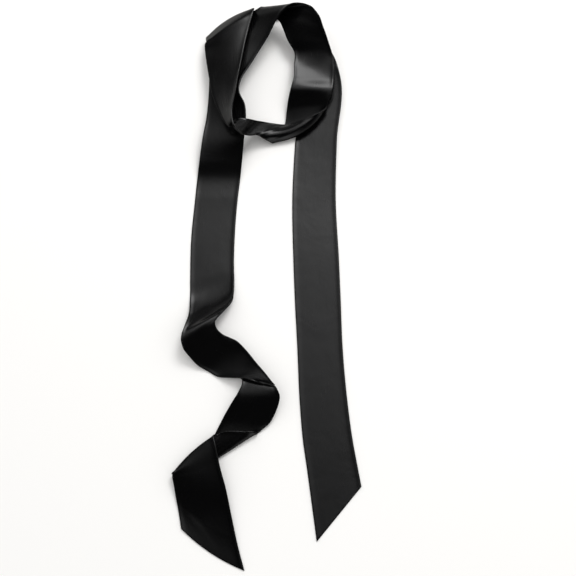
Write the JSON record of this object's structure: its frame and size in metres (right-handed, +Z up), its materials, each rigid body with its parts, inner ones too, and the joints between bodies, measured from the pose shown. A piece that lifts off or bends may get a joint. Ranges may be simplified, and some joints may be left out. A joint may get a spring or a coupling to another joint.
{
  "type": "skinny scarf",
  "caption": "Long narrow satin scarf lying flat, its middle wound into an open neck loop, with one straight tail and one rippled, folded tail, both cut on a slant.",
  "frame": {"origin": "centre of the bounding box, on the surface the scarf lies on", "axes": "+Z up from that surface; +Y along the scarf from the tail ends to the neck loop; +X towards the straight tail"},
  "size_m": [0.1875, 0.7111, 0.0462],
  "materials": {
    "satin": "black satin weave, soft gloss"
  },
  "bodies": {
    "root": {"left_tip": "satin", "left_curl": "satin", "left_drop": "satin", "left_wave": "satin", "left_tail": "satin", "back_left": "satin", "right_panel": "satin", "throat_band": "satin", "left_panel": "satin", "collar_back": "satin", "right_tail": "satin"}
  },
  "joints": []
}
